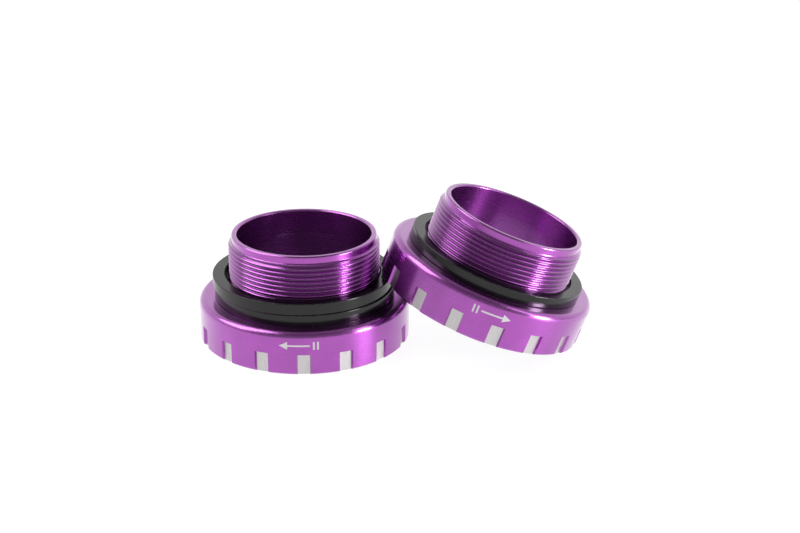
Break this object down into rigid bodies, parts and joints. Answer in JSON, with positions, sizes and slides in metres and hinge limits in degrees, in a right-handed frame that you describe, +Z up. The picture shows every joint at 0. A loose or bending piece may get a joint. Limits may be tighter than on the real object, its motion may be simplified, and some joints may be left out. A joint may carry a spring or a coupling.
{
  "type": "bicycle bottom bracket",
  "caption": "Threaded external bottom bracket for a 30 mm crank spindle: a pair of purple anodised cups with sealed bearings and black spacers.",
  "frame": {"origin": "on the ground, midway under the pair of cups", "axes": "+X from the upright drive cup to the leaning non-drive cup, +Z up along the drive cup axis"},
  "size_m": [0.0908, 0.0488, 0.0347],
  "materials": {
    "purple_anodised": "bright purple anodising, gloss",
    "black_anodised": "black anodising, satin",
    "bearing_steel": "ground and polished",
    "seal_rubber": "moulded, matte",
    "cage_nylon": "moulded"
  },
  "bodies": {
    "drive_cup": {"drive_cup": "purple_anodised", "drive_outer_race": "bearing_steel", "drive_seal_outboard": "seal_rubber", "drive_seal_inboard": "seal_rubber", "drive_dust_cover": "seal_rubber"},
    "drive_inner_race": {"drive_inner_race": "bearing_steel"},
    "drive_ball_set": {"drive_ball_cage": "cage_nylon", "drive_ball_01": "bearing_steel", "drive_ball_02": "bearing_steel", "drive_ball_03": "bearing_steel", "drive_ball_04": "bearing_steel", "drive_ball_05": "bearing_steel", "drive_ball_06": "bearing_steel", "drive_ball_07": "bearing_steel", "drive_ball_08": "bearing_steel", "drive_ball_09": "bearing_steel", "drive_ball_10": "bearing_steel", "drive_ball_11": "bearing_steel", "drive_ball_12": "bearing_steel", "drive_ball_13": "bearing_steel", "drive_ball_14": "bearing_steel", "drive_ball_15": "bearing_steel", "drive_ball_16": "bearing_steel", "drive_ball_17": "bearing_steel", "drive_ball_18": "bearing_steel"},
    "drive_spacer_lower": {"drive_spacer_lower": "black_anodised"},
    "drive_spacer_upper": {"drive_spacer_upper": "black_anodised"},
    "nondrive_cup": {"nondrive_cup": "purple_anodised", "nondrive_outer_race": "bearing_steel", "nondrive_seal_outboard": "seal_rubber", "nondrive_seal_inboard": "seal_rubber", "nondrive_dust_cover": "seal_rubber"},
    "nondrive_inner_race": {"nondrive_inner_race": "bearing_steel"},
    "nondrive_ball_set": {"nondrive_ball_cage": "cage_nylon", "nondrive_ball_01": "bearing_steel", "nondrive_ball_02": "bearing_steel", "nondrive_ball_03": "bearing_steel", "nondrive_ball_04": "bearing_steel", "nondrive_ball_05": "bearing_steel", "nondrive_ball_06": "bearing_steel", "nondrive_ball_07": "bearing_steel", "nondrive_ball_08": "bearing_steel", "nondrive_ball_09": "bearing_steel", "nondrive_ball_10": "bearing_steel", "nondrive_ball_11": "bearing_steel", "nondrive_ball_12": "bearing_steel", "nondrive_ball_13": "bearing_steel", "nondrive_ball_14": "bearing_steel", "nondrive_ball_15": "bearing_steel", "nondrive_ball_16": "bearing_steel", "nondrive_ball_17": "bearing_steel", "nondrive_ball_18": "bearing_steel"},
    "nondrive_spacer": {"nondrive_spacer": "black_anodised"}
  },
  "joints": [
    {"name": "drive_bearing_spin", "type": "hinge", "parent": "drive_cup", "child": "drive_inner_race", "pos_m": [-0.02104, 0, 0.00485], "axis": [0, 0, 1], "continuous": true},
    {"name": "drive_ball_set_spin", "type": "hinge", "parent": "drive_cup", "child": "drive_ball_set", "pos_m": [-0.02104, 0, 0.00485], "axis": [0, 0, 1], "continuous": true},
    {"name": "drive_spacer_lower_turn", "type": "hinge", "parent": "drive_cup", "child": "drive_spacer_lower", "pos_m": [-0.02104, 0, 0.01117], "axis": [0, 0, 1], "continuous": true},
    {"name": "drive_spacer_upper_turn", "type": "hinge", "parent": "drive_cup", "child": "drive_spacer_upper", "pos_m": [-0.02144, 0, 0.01383], "axis": [0, 0, 1], "continuous": true},
    {"name": "nondrive_cup_lift", "type": "slide", "parent": "drive_cup", "child": "nondrive_cup", "axis": [0, 0, 1], "range_m": [0, 0.03]},
    {"name": "nondrive_bearing_spin", "type": "hinge", "parent": "nondrive_cup", "child": "nondrive_inner_race", "pos_m": [0.02117, 0, 0.01268], "axis": [0.3365, 0, 0.9417], "continuous": true},
    {"name": "nondrive_ball_set_spin", "type": "hinge", "parent": "nondrive_cup", "child": "nondrive_ball_set", "pos_m": [0.02117, 0, 0.01268], "axis": [0.3365, 0, 0.9417], "continuous": true},
    {"name": "nondrive_spacer_slide", "type": "slide", "parent": "nondrive_cup", "child": "nondrive_spacer", "axis": [0.3365, 0, 0.9417], "range_m": [0, 0.0125]}
  ],
  "couplings": [
    {"joint": "drive_ball_set_spin", "follows": "drive_bearing_spin", "ratio": 0.45139},
    {"joint": "nondrive_ball_set_spin", "follows": "nondrive_bearing_spin", "ratio": 0.45139}
  ]
}
